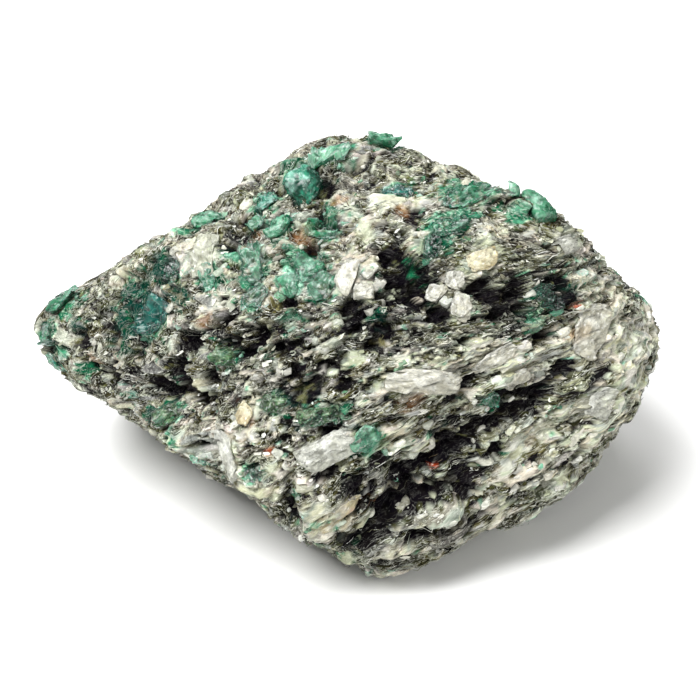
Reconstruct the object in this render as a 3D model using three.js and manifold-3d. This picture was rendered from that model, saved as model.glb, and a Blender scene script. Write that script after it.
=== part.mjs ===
// Emerald in mica schist: one hand specimen, broken from the rock along its foliation.
// Millimetres, +Z up. The stone rests on its flat underside at z = 0; +X runs along its length
// towards the blunt end, and -Y is the face that shows the emeralds best.

import * as THREE from "three";
import { mergeVertices } from "three/addons/utils/BufferGeometryUtils.js";
import Module from "manifold-3d";

const wasm = await Module();
wasm.setup();

// ---- Driving dimensions ----

const heart = new THREE.Vector3(0.3, 2.4, 22); // the middle that every place is measured from
const stoneGrid = 16; // squares along each side of the stone's six patches
const stretch = new THREE.Vector3(45, 30, 24); // how the patches share out the long stone
const roundness = 22; // higher leaves sharper edges between the fracture faces
const underside = 60; // size of the block that trims the resting face flat

// Each fracture face: the compass bearing it looks to (0 front, 90 right, 180 back, -90 left),
// its lift above the horizon, both in degrees, and its distance from the heart.
const fractureFaces = [
  // the outline seen from the front and above
  [-46, -40, 27],
  [-74, -26, 41],
  [-90, 0, 45.5],
  [-132, 44, 27.6],
  [-164, 54, 31.5],
  [174, 57, 32],
  [146, 50, 29],
  [127, 42, 31],
  [106, 28, 38.5],
  [90, -2, 47.5],
  [66, -26, 39],
  [34, -46, 33],
  // the faces that look at the viewer
  [15, 12, 29],
  [-34, 22, 28.5],
  [-12, 50, 27],
  [-20, 80, 28],
  [38, 50, 31],
  [68, 14, 44],
  [-66, 48, 33],
  // the back
  [178, 8, 28],
  [146, -6, 34],
  [-150, 2, 31],
  [-122, -4, 41],
  [118, 6, 43],
  [168, -38, 34],
  [-142, -42, 36],
];

// Knobs and hollows: bearing, lift and spread in degrees, and rise in millimetres.
const knobs = [
  [-150, 78, 13, 1.5], // crown
  [168, 55, 9, 1.4],
  [154, 52, 4, -1.2],
  [-131, 43, 7, -1.2], // step left of the crown
  [66, 46, 15, 2.4], // foliated hump
  [127, 41, 6, 1.2],
  [108, 24, 8, 1.8],
  [-26, 6, 10, 2.2], // knot low on the left
  [-46, 10, 7, -1.2],
  [-8, -9, 7, 0.8], // lower lip
  [-15, -9, 4, -1.4],
  [3, -20, 8, -1.4], // nose
  [20, 24, 11, 1.4], // pale band
  [29, 46, 8, -1.8], // dark hollows
  [12, -5, 7, -1.8],
  [84, -8, 6, -1.6], // notch under the blunt end
  [77, 37, 11, 1.8], // right shoulder
  [62, -9, 9, -0.8],
  [-50, -2, 9, 1.4], // foot of the left flank
  [-80, 55, 11, -1.9], // dip below the crown on the left
  [-20, -10, 5, -0.9],
  [-84, 26, 8, 0.7],
  [-86, 8, 9, 1.6], // pointed end
  [88, 8, 8, 1.8], // blunt end
  [-158, 26, 12, 1.8], // back
  [152, 6, 11, -1.6],
  [-128, -12, 9, 1.4],
  [178, -14, 9, 1.2],
];

const gap = 0.3; // all round between a crystal and the stone or crystal that holds it

// Crystals set into the surface. Bearing and lift in degrees as above; proud is how far the
// crystal stands out of the stone, then length, width and thickness, all in millimetres; turn
// is the way its length lies in the surface, from +X anticlockwise seen from outside, and tilt
// how far the length leans out of the surface, in degrees.
const emeralds = [
  // crown and upper left slope
  ["emerald_crown", -78, 77, 2.4, 6, 5, 4.6, 120, 50],
  ["emerald_peak", 150, 72, 1.4, 4.4, 3.2, 3, 10, 0],
  ["emerald_crown_slab", -138, 82, 0.8, 6.4, 2.8, 2.4, 15, 0],
  ["emerald_slope_sliver", -79, 65, 0.8, 3.8, 2, 1.8, 30, 0],
  ["emerald_ledge", -86, 48, 1.4, 3.6, 3.4, 3, 40, 20],
  ["emerald_table", -21, 69, 0.8, 4.6, 3.4, 2.8, 0, 0],
  ["emerald_oval", -50, 63, 1, 4.2, 3, 2.6, 70, 10],
  ["emerald_round", -64, 60, 0.6, 2.6, 2.4, 2.2, 60, 0],
  ["emerald_column", -47, 50, 1, 6.4, 3.6, 3, 95, 0],
  ["emerald_column_foot", -39, 43, 0.8, 2.8, 2.6, 2.2, 60, 0],
  ["emerald_window", -22, 57, 1, 4.6, 4, 3.2, 30, 0],
  ["emerald_window_foot", -28, 49, 0.8, 2.8, 2.4, 2.2, 110, 0],
  ["emerald_fan", -13, 51, 0.7, 3.6, 2.8, 2.4, 40, 0],
  ["emerald_blade", -57, 41, 0.9, 3.6, 1.8, 1.6, 100, 0],
  ["emerald_wedge", -68, 36, 0.6, 4, 2.6, 2.2, 80, 0],
  // pointed end and left flank
  ["emerald_point", -87, 13, 1, 4.6, 2.8, 2.6, 35, 0],
  ["emerald_tip_upper", -83, 7, 0.9, 2.8, 1.8, 1.6, 80, 0],
  ["emerald_tip_lower", -81, 2, 0.8, 2.8, 2.2, 2, 130, 0],
  ["emerald_deep", -66, 23, 0.6, 6.6, 5.2, 3.6, 50, 0],
  ["emerald_olive", -42, 24, 0.7, 3.2, 3, 2.4, 0, 0],
  ["emerald_flank", -53, 3, 0.7, 4.2, 2.8, 2.4, 20, 0],
  ["emerald_flank_foot", -41, -6, 0.7, 2.8, 1.8, 1.6, 20, 0],
  // front
  ["emerald_in_quartz", 4, 9, 0.9, 4, 3.6, 3, 60, 0],
  ["emerald_hollow", -8, 16, 0.6, 5.6, 2.8, 2.4, 10, 0],
  ["emerald_front", -22, 17, 0.7, 3.4, 2.2, 2, 160, 0],
  ["emerald_foot", -24, -1, 0.7, 2.2, 2, 1.8, 0, 0],
  ["emerald_band", 39, 13, 0.7, 2.2, 2, 1.8, 0, 0],
  // right shoulder
  ["emerald_shoulder", 75, 59, 0.9, 7, 4.8, 3.6, 25, 0],
  ["emerald_shoulder_foot", 52, 58, 0.7, 5.2, 2.8, 2.4, 15, 0],
  ["emerald_rim", 82, 45, 0.7, 5, 3.8, 3.2, 120, 10],
  ["emerald_rim_sliver", 84, 51, 1, 3.4, 1.6, 1.4, 100, 20],
  ["emerald_blue", 66, 75, 0.7, 3.8, 2.2, 2, -10, 0],
  ["emerald_shade", 61, 30, 0.5, 4.4, 4, 3, 110, 0],
  ["emerald_cleft", 40, 56, 0.6, 3, 2.4, 2, 70, 0],
  // back and blunt end
  ["emerald_back_left", -140, 18, 0.9, 5, 3.6, 3, 20, 0],
  ["emerald_back_centre", 172, 32, 1.2, 6, 4.2, 3.4, 150, 10],
  ["emerald_back_right", 140, 14, 0.8, 4, 3.2, 2.6, 60, 0],
  ["emerald_blunt_end", 98, 8, 0.9, 4.2, 3, 2.6, 80, 0],
];

const paleGrains = [
  // front and left
  ["quartz_block", -4, 7, 0.9, 8.4, 3.6, 3, 25, 0],
  ["feldspar_band", 20, 24, 1.2, 10.6, 3.6, 3, -8, 0],
  ["feldspar_knot", -2, 55, 1, 4.8, 2.8, 2.4, 80, 0],
  ["feldspar_bead", 6, 50, 0.8, 2.6, 2.4, 2, 0, 0],
  ["quartz_column", -64, 44, 0.9, 6.8, 3.4, 2.8, 85, 0],
  ["feldspar_cream", -29, 12, 1, 3, 2.6, 2.2, 60, 0],
  ["quartz_lump", -32, 1, 0.9, 6.4, 3.2, 2.8, 110, 0],
  ["feldspar_fibrous", -4, -10, 0.9, 9.6, 2.8, 2.4, 27, 0],
  // right shoulder and right face
  ["feldspar_streak", 41, 24, 0.9, 6.6, 2.4, 2, 27, 0],
  ["feldspar_pair_upper", 41, 45, 0.8, 2.6, 2.4, 2, 80, 0],
  ["feldspar_pair_lower", 38, 39, 0.9, 3.8, 2.4, 2.2, 85, 0],
  ["feldspar_in_shade", 34, 45, 0.8, 2.6, 2.2, 2, 60, 0],
  ["feldspar_hump", 52, 46, 1, 4, 3, 2.4, 20, 0],
  ["quartz_hump", 74, 36, 0.9, 3.4, 2.8, 2.4, 20, 0],
  ["feldspar_plate", 64, 20, 1, 8.6, 5.4, 3, 60, 0],
  ["feldspar_streak_low", 45, 17, 0.8, 4.4, 2.6, 2.2, 25, 0],
  ["quartz_end", 60, 6, 0.8, 4.4, 3, 2.4, 70, 0],
  // back
  ["feldspar_back_band", 176, 8, 1, 9, 3.8, 3, 15, 0],
  ["feldspar_back_left", -154, 34, 0.9, 5, 3.4, 2.6, 40, 0],
  ["quartz_back_right", 126, 0, 0.9, 6, 4, 3, 30, 0],
];

function outward(bearing, lift) {
  const b = THREE.MathUtils.degToRad(bearing);
  const l = THREE.MathUtils.degToRad(lift);
  return new THREE.Vector3(
    Math.sin(b) * Math.cos(l),
    -Math.cos(b) * Math.cos(l),
    Math.sin(l),
  );
}

const faces = fractureFaces.map(([bearing, lift, reach]) => ({
  normal: outward(bearing, lift),
  reach,
}));

const bumps = knobs.map(([bearing, lift, spread, rise]) => ({
  toward: outward(bearing, lift),
  spread,
  rise,
}));

// Distance from the heart to the surface: the nearest fracture face, with the edges worn round.
function reachAlong(direction) {
  let sum = 0;
  for (const { normal, reach } of faces) {
    const toward = Math.max(0, normal.dot(direction)) / reach;
    sum += toward ** roundness;
  }
  return sum ** (-1 / roundness);
}

function reachWithKnobs(direction) {
  let reach = reachAlong(direction);
  for (const { toward, spread, rise } of bumps) {
    const angle = THREE.MathUtils.radToDeg(direction.angleTo(toward));
    reach += rise * Math.exp(-((angle / spread) ** 2));
  }
  return reach;
}

function surfacePoint(direction) {
  return direction.clone().multiplyScalar(reachWithKnobs(direction)).add(heart);
}

// A grid on each side of a cube, blown out to the stone's surface.
function stoneGeometry() {
  const block = new THREE.BoxGeometry(2, 2, 2, stoneGrid, stoneGrid, stoneGrid);
  const at = block.getAttribute("position");
  const point = new THREE.Vector3();
  for (let i = 0; i < at.count; i++) {
    point.fromBufferAttribute(at, i);
    point.set(...point.toArray().map((c) => Math.tan((c * Math.PI) / 4)));
    point.normalize().multiply(stretch).normalize();
    at.setXYZ(i, ...surfacePoint(point).toArray());
  }
  return block;
}

// The way the surface faces where a direction meets it.
function surfaceNormal(direction) {
  const step = 0.02;
  const side = new THREE.Vector3(1, 0, 0).cross(direction).normalize();
  const other = side.clone().cross(direction).normalize();
  const [a, b, c, d] = [side, side.clone().negate(), other, other.clone().negate()].map((turn) =>
    surfacePoint(direction.clone().addScaledVector(turn, step).normalize()),
  );
  const normal = b.sub(a).cross(d.sub(c)).normalize();
  return normal.dot(direction) < 0 ? normal.negate() : normal;
}

// Sets a unit shape (length along Y, width along X, thickness along Z) into the stone's surface.
function setIn(shape, crystal, extra) {
  const { bearing, lift, proud, long, wide, thick, turn, tilt } = crystal;
  const direction = outward(bearing, lift);
  const normal = surfaceNormal(direction);
  const right = new THREE.Vector3(1, 0, 0);
  right.addScaledVector(normal, -right.dot(normal)).normalize();
  const up = normal.clone().cross(right);
  const [t, k] = [turn, tilt].map(THREE.MathUtils.degToRad);
  const axis = right.multiplyScalar(Math.cos(t)).addScaledVector(up, Math.sin(t));
  axis.multiplyScalar(Math.cos(k)).addScaledVector(normal, Math.sin(k)).normalize();
  const across = axis.clone().cross(normal).normalize();
  const out = across.clone().cross(axis).normalize();
  const reach = (Math.abs(out.dot(normal)) * thick + Math.abs(axis.dot(normal)) * long) / 2;
  const centre = surfacePoint(direction).addScaledVector(normal, proud - reach);
  const place = new THREE.Matrix4().makeBasis(across, axis, out).setPosition(centre);
  const geometry = shape.clone();
  geometry.scale(wide + 2 * extra, long + 2 * extra, thick + 2 * extra);
  geometry.applyMatrix4(place);
  return solidOf(geometry);
}

function solidOf(geometry) {
  geometry.deleteAttribute("normal");
  geometry.deleteAttribute("uv");
  const joined = mergeVertices(geometry, 1e-4);
  return new wasm.Manifold(
    new wasm.Mesh({
      numProp: 3,
      vertProperties: new Float32Array(joined.getAttribute("position").array),
      triVerts: new Uint32Array(joined.index.array),
    }),
  );
}

function geometryOf(solid) {
  const mesh = solid.getMesh();
  const geometry = new THREE.BufferGeometry();
  geometry.setAttribute("position", new THREE.Float32BufferAttribute(mesh.vertProperties, 3));
  geometry.setIndex(new THREE.Uint32BufferAttribute(mesh.triVerts, 1));
  geometry.computeVertexNormals();
  return geometry;
}

// The largest piece that is left after cutting; slivers between two sockets break away.
function largestPiece(solid) {
  const pieces = solid.decompose();
  return pieces.reduce((best, piece) => (piece.volume() > best.volume() ? piece : best));
}

// ---- Unit shapes, one millimetre each way ----

const prism = new THREE.CylinderGeometry(0.5, 0.5, 1, 6, 1, false, Math.PI / 6);
prism.scale(1, 1, 1 / Math.cos(Math.PI / 6)); // flats touch the thickness, corners the width

const knot = new THREE.DodecahedronGeometry(0.5);
knot.computeBoundingBox();
const knotSize = knot.boundingBox.getSize(new THREE.Vector3());
knot.scale(1 / knotSize.x, 1 / knotSize.y, 1 / knotSize.z);

const looks = {
  emerald: { color: 0x2f8f6b, roughness: 0.35 },
  feldspar: { color: 0xdfe0d2, roughness: 0.6 },
  quartz: { color: 0xc9cdc6, roughness: 0.45 },
  matrix: { color: 0x6f7666, roughness: 0.75 },
};

function named(name, solid) {
  const kind = name.split("_")[0];
  const mesh = new THREE.Mesh(geometryOf(solid), new THREE.MeshStandardMaterial(looks[kind]));
  mesh.name = name;
  return mesh;
}

const fields = ["name", "bearing", "lift", "proud", "long", "wide", "thick", "turn", "tilt"];

function listed(rows, shape) {
  return rows.map((row) => {
    const crystal = Object.fromEntries(fields.map((field, i) => [field, row[i]]));
    return {
      name: crystal.name,
      solid: setIn(shape, crystal, 0),
      socket: setIn(shape, crystal, gap),
    };
  });
}

function build() {
  const specimen = new THREE.Group();
  const crystals = [...listed(emeralds, prism), ...listed(paleGrains, knot)];
  const trim = new THREE.BoxGeometry(4 * underside, 4 * underside, underside);
  trim.translate(0, 0, -underside / 2);
  let stone = solidOf(stoneGeometry()).subtract(solidOf(trim));
  crystals.forEach(({ name, solid }, i) => {
    let own = solid;
    for (const earlier of crystals.slice(0, i)) own = own.subtract(earlier.socket);
    specimen.add(named(name, largestPiece(own)));
  });
  for (const { socket } of crystals) stone = stone.subtract(socket);
  specimen.add(named("matrix", largestPiece(stone)));
  return specimen;
}

export default build();
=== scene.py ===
import itertools
import math

import bpy
import numpy as np
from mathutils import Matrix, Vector


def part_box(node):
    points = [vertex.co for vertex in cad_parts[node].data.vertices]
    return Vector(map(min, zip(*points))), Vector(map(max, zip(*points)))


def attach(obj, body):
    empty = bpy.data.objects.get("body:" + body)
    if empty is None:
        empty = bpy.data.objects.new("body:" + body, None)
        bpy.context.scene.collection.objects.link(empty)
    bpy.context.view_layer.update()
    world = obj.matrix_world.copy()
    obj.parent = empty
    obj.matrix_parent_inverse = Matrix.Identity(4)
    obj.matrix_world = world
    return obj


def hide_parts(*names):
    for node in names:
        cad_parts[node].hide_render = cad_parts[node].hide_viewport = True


# Emerald in mica schist. Shapes are worked out in millimetres and turned to metres when a mesh
# is made. A place on the stone is a bearing (0 front, 90 right, 180 back, -90 left) and a lift
# above the horizon, in degrees, both seen from the stone's heart.

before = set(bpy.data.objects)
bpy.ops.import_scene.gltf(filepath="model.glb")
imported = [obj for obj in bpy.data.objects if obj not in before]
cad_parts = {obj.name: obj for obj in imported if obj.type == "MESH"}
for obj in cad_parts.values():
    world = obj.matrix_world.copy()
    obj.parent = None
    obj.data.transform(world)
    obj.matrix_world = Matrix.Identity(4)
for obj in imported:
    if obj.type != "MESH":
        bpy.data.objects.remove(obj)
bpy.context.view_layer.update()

mm = 0.001
heart = np.array((0.3, 2.4, 22.0))
few = 1.0  # share of the scattered flakes, threads and grains that is made


def linear(hexColour):
    # #rrggbb to linear light: c / 12.92 up to 0.04045, above it ((c + 0.055) / 1.055) ^ 2.4
    c = np.array([int(hexColour[i : i + 2], 16) for i in (1, 3, 5)]) / 255
    return np.where(c <= 0.04045, c / 12.92, ((c + 0.055) / 1.055) ** 2.4)


def palette(*hexColours):
    # one row of linear light for each hex colour
    return np.array([linear(h) for h in hexColours])


def blend(colour, other, amount):
    # colour + (other - colour) * amount, the amount one number for each point
    return colour + (other - colour) * np.asarray(amount)[:, None]


def along(tones, t):
    # the colour at t from 0 to 1 along a row of tones, straight between one tone and the next
    at = np.clip(t, 0, 0.9999) * (len(tones) - 1)
    k = at.astype(int)
    return blend(tones[k], tones[k + 1], at - k)


def outward(bearing, lift):
    # (sin b cos l, -cos b cos l, sin l)
    b, l = np.radians(bearing), np.radians(lift)
    return np.stack((np.sin(b) * np.cos(l), -np.cos(b) * np.cos(l), np.sin(l)), -1)


def smooth(low, high, x):
    # 0 below low, 1 above high, t^2 (3 - 2t) between
    t = np.clip((x - low) / (high - low), 0, 1)
    return t * t * (3 - 2 * t)


def unit(v):
    # v / |v|, row by row
    return v / np.linalg.norm(v, axis=-1, keepdims=True)


slopes = unit(np.random.default_rng(7).normal(size=(256, 3)))


def scramble(cell, seed):
    # whole-number cell corners mixed into one chance number each
    i, j, k = (cell.astype(np.int64).astype(np.uint32)).T
    h = (i * np.uint32(73856093)) ^ (j * np.uint32(19349663)) ^ (k * np.uint32(83492791))
    h = (h ^ np.uint32(seed * 7919 + 17)) * np.uint32(2654435761)
    h = (h ^ (h >> np.uint32(15))) * np.uint32(2246822519)
    return h ^ (h >> np.uint32(13))


def share(h):
    # the lowest 16 bits of a chance number, divided by 2^16
    return (h & np.uint32(0xFFFF)) / 65536


def noise(p, seed):
    # gradient noise: at each corner of a unit cube a fixed slope, blended by 6t^5 - 15t^4 + 10t^3
    low = np.floor(p)
    t = p - low
    w = t * t * t * (t * (t * 6 - 15) + 10)
    total = np.zeros(len(p))
    for corner in itertools.product((0, 1), repeat=3):
        slope = slopes[scramble(low + corner, seed) & np.uint32(255)]
        weight = np.prod(np.where(corner, w, 1 - w), axis=1)
        total += weight * np.einsum("ij,ij->i", slope, t - corner)
    return total * 1.6


def rough(p, seed, octaves):
    # noise at halving sizes and halving heights, added up
    return sum(noise(p * 2**k, seed + k) / 2**k for k in range(octaves))


def noiseWay(p, seed):
    # three noises, one for each axis
    return np.stack([noise(p, seed + k) for k in range(3)], -1)


def cells(p, seed):
    # one jittered site in each unit cube. For the nearest site: the gap to the next nearest one,
    # its own number from 0 to 1, and the way from the site to the point
    low = np.floor(p)
    near = np.full(len(p), 9.0)
    second = near.copy()
    own = np.zeros(len(p), np.uint32)
    away = np.zeros_like(p)
    for corner in itertools.product((-1, 0, 1), repeat=3):
        cell = low + corner
        h = scramble(cell, seed)
        site = cell + np.stack((share(h), share(h >> np.uint32(8)), share(h >> np.uint32(16))), -1)
        d = p - site
        far = np.sqrt((d * d).sum(1))
        closer = far < near
        second = np.where(closer, near, np.minimum(second, far))
        near = np.where(closer, far, near)
        own = np.where(closer, h, own)
        away = np.where(closer[:, None], d, away)
    return second - near, share(own * np.uint32(2654435761) >> np.uint32(9)), away


def facets(p, seed, tilt):
    # every cell is a small plane: its own height plus its own slope times the way from its site
    gap, own, away = cells(p, seed)
    slope = slopes[(own * 255).astype(int)]
    return (own - 0.5) + tilt * (slope * away).sum(1), gap, own


# the stone's own shape

# bearing, lift, distance from the heart: the planes the stone broke along, as in the CAD stone
fractureFaces = np.array(
    [
        (-46, -40, 27), (-74, -26, 41), (-90, 0, 45.5), (-132, 44, 27.6), (-164, 54, 31.5),
        (174, 57, 32), (146, 50, 29), (127, 42, 31), (106, 28, 38.5), (90, -2, 47.5),
        (66, -26, 39), (34, -46, 33), (15, 12, 29), (-34, 22, 28.5), (-12, 50, 27),
        (-20, 80, 28), (38, 50, 31), (68, 14, 44), (-66, 48, 33), (178, 8, 28), (146, -6, 34),
        (-150, 2, 31), (-122, -4, 41), (118, 6, 43), (168, -38, 34), (-142, -42, 36),
    ]
)

# bearing, lift, spread in degrees, rise in mm: lumps and dips between the planes
knobs = np.array(
    [
        (-150, 78, 13, 1.5), (168, 55, 9, 1.4), (154, 52, 4, -1.2), (-131, 43, 7, -1.2),
        (66, 46, 15, 2.4), (127, 41, 6, 1.2), (108, 24, 8, 1.8), (-26, 6, 10, 2.2),
        (-46, 10, 7, -1.2), (-8, -9, 7, 0.8), (-15, -9, 4, -1.4), (3, -20, 8, -1.4),
        (20, 24, 11, 1.4), (29, 46, 8, -1.8), (12, -5, 7, -1.8), (84, -8, 6, -1.6),
        (77, 37, 11, 1.8), (62, -9, 9, -0.8), (-50, -2, 9, 1.4), (-80, 55, 11, -1.9),
        (-20, -10, 5, -0.9), (-84, 26, 8, 0.7), (-86, 8, 9, 1.6), (88, 8, 8, 1.8),
        (-158, 26, 12, 1.8), (152, 6, 11, -1.6), (-128, -12, 9, 1.4), (178, -14, 9, 1.2),
    ]
)

stone = {
    "grid": 128,  # squares along each side of its six patches
    "stretch": (45, 30, 24),  # keeps the squares even on a long stone
    "lowered": 5,  # draws more of the squares up from the flat underside
    "roundness": 22,  # how sharply one fracture plane turns into the next
    "worn": 1.25,  # how far the broken skin lies inside the fracture planes, mm
    "lumps": 0.9,  # heights in mm, down to the hollows
    "slabs": 1.3,
    "grains": 0.45,
    "pillows": 0.14,
    "ridges": 0.3,
    "hollows": 1.7,
    "lumpMm": 11,  # sizes: along the fibres, across them and through the layers
    "slabMm": (9.0, 4.5, 2.4),
    "ridgeMm": (4.0, 1.1, 0.7),
    "hollowMm": 2.0,
    "largeMm": ((4.6, 2.0, 1.3), (2.9, 2.5, 2.0)),  # grains on the right face and on the matted left
    "smallMm": ((2.0, 0.9, 0.6), (1.4, 1.1, 0.85)),
    "brokenShare": 0.62,  # of the large grains, broken into small ones
}


def polytope(d, normals, reaches, roundness):
    # r = (sum of (n.d / reach)^p)^(-1/p): a solid cut by planes, its edges worn round
    toward = np.maximum(d @ normals.T, 0) / reaches
    return (toward**roundness).sum(1) ** (-1 / roundness)


def stoneReach(d):
    # the polytope of the fracture planes, plus rise * e^-(angle / spread)^2 for each knob
    normals = outward(fractureFaces[:, 0], fractureFaces[:, 1])
    reach = polytope(d, normals, fractureFaces[:, 2], stone["roundness"])
    angle = np.degrees(np.arccos(np.clip(d @ outward(knobs[:, 0], knobs[:, 1]).T, -1, 1)))
    return reach + (knobs[:, 3] * np.exp(-((angle / knobs[:, 2]) ** 2))).sum(1)


def placeOn(bearing, lift):
    # heart + direction * reach
    d = outward(np.atleast_1d(bearing), np.atleast_1d(lift))
    return (d * stoneReach(d)[:, None] + heart)[0]


# the layers of mica

layerTilt = np.array((-0.42, 0.115, 0.896))  # their normal where they lie straight
fibre = unit(np.array((0.88, 0.27, 0.385)))  # the way they are drawn out


def layerHeight(p):
    # n.q, bent down to the right of the crown by 0.85 w ln(1 + e^((x + 2) / w)) above mid height
    q = p - heart
    over = smooth(10, 24, q[:, 2])
    w = 8.0
    return q @ layerTilt + 0.85 * over * w * np.log1p(np.exp(np.clip((q[:, 0] + 2) / w, -30, 30)))


def layerNormal(p):
    # the slope of layerHeight, by differences over half a millimetre each way
    step = 0.5
    grown = [layerHeight(p + step * axis) - layerHeight(p - step * axis) for axis in np.eye(3)]
    return unit(np.stack(grown, -1))


def crumpled(p):
    # 0 on the right face, where the layers run straight, 1 on the left, where they are matted
    return smooth(8, -14, p[:, 0] - 0.5 * (p[:, 2] - heart[2]))


def layerCoords(p):
    # along the fibres, across them and up through the layers, all three swirled by noise
    q = np.stack((p @ fibre, p @ np.cross(layerTilt, fibre), layerHeight(p)), -1)
    q = q + (1.5, 1.3, 1.2) * noiseWay(p / 8, 301) + 0.5 * noiseWay(p / 2.6, 311)
    return q + crumpled(p)[:, None] * (1.6 * noiseWay(p / 4.5, 321) + 0.5 * noiseWay(p / 1.8, 324))


def matLengths(p, q):
    # layerCoords q with the lengths along the fibres stretched 2.3 times on the matted left, turning
    # over as w ln(1 + e^(-(x + 3) / w)), so a pattern laid by it is as short as it is wide there
    w = 5.0
    left = w * np.log1p(np.exp(np.clip(-(p[:, 0] + 3) / w, -30, 30)))
    return q - left[:, None] * (1.3, 0, 0)


# what the rock is made of, place by place

# bearing, lift, half length along the fibres and half width across them in mm
# the dark hollows: biotite, and over it painted shade that makes them all but black
darkHollows = [
    # round the crown
    (-65, 82, 1.9, 1.4), (162, 86, 2.6, 0.9), (-100, 79, 1.4, 0.9), (-92, 71, 2.2, 0.9),
    (-62, 50, 0.8, 1.2), (-25, 62, 0.9, 1.2), (-78, 56, 0.9, 1.2), (-38, 72, 3.0, 0.5),
    # the deep hollow right of the middle
    (21, 58, 1.5, 1.3), (28, 50, 3.2, 2.8), (19, 48, 2.2, 1.7), (29, 45, 2.2, 1.7),
    (35, 46, 0.8, 1.9), (0, 46, 1.5, 1.2), (1, 39, 1.2, 0.9), (11, 37, 2.4, 1.4),
    (32, 39, 1.3, 1.2), (49, 41, 2.2, 0.8), (49, 38, 1.5, 1.2), (56, 36, 1.9, 1.4),
    (48, 33, 1.2, 0.9), (54, 32, 0.8, 1.8), (65, 32, 1.3, 0.9), (65, 28, 1.3, 1.3),
    (55, 24, 2.0, 1.0), (67, 31, 0.7, 0.7), (35, 31, 1.0, 0.7),
    # the left flank
    (-54, 23, 1.6, 1.4), (-42, 28, 2.5, 0.8), (-33, 33, 1.3, 1.2), (-55, 14, 1.3, 1.6),
    (-56, 7, 2.5, 1.3), (-50, 10, 1.3, 2.2), (-45, 16, 0.9, 1.1), (-73, 13, 1.1, 1.5),
    (-78, 9, 1.0, 1.2), (-69, 6, 1.3, 1.5), (-74, 6, 1.5, 0.8), (-60, 8, 2.2, 0.9),
    # the middle
    (-7, 29, 2.8, 0.8), (-16, 26, 1.8, 1.0), (-12, 22, 2.3, 1.4), (-20, 33, 1.8, 0.6),
    (-24, 31, 1.3, 0.9), (-36, 27, 2.2, 0.8), (3, 43, 1.6, 0.7), (-26, 45, 0.9, 0.7),
    (-5, 11, 1.4, 1.4), (-5, 1, 2.2, 0.7), (-14, -10, 0.6, 2.2), (-2, 24, 1.2, 0.7),
    # low on the front
    (14, -7, 1.9, 2.4), (12, -11, 3.2, 1.9), (18, -11, 2.6, 1.7), (28, -7, 3.3, 1.0),
    (30, -10, 1.3, 1.3), (22, -10, 1.6, 1.2), (4, -7, 2.0, 1.0), (1, -4, 1.3, 0.9),
    (9, -16, 2.2, 1.2), (3, -18, 2.2, 1.0), (18, -19, 2.5, 0.8), (-2, -18, 0.9, 1.8),
    # long streaks of the right face
    (64, 16, 0.8, 1.4), (56, 15, 1.9, 0.9), (51, 13, 2.9, 0.9), (34, 20, 1.7, 0.7),
    (30, 17, 1.9, 0.7), (43, 13, 2.2, 1.1), (49, 9, 3.3, 0.9), (42, 8, 3.9, 1.0),
    (34, 6, 2.3, 0.9), (27, 5, 1.6, 1.3), (28, 1, 2.3, 1.3), (20, -1, 2.8, 1.0),
    (32, 3, 1.4, 1.2), (38, 0, 0.9, 1.6), (48, -12, 1.4, 0.8), (54, -6, 2.0, 1.0),
    # the hidden sides
    (150, 20, 5, 2), (-165, 10, 6, 1.6), (170, -5, 5, 1.8), (-130, 30, 4, 1.6),
    (120, 30, 3, 1.6), (-110, -5, 4, 1.6), (142, 38, 3, 1.1), (-172, 34, 4, 1.0),
    (112, 2, 4, 1.2), (-146, -14, 4, 1.3),
]
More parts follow.
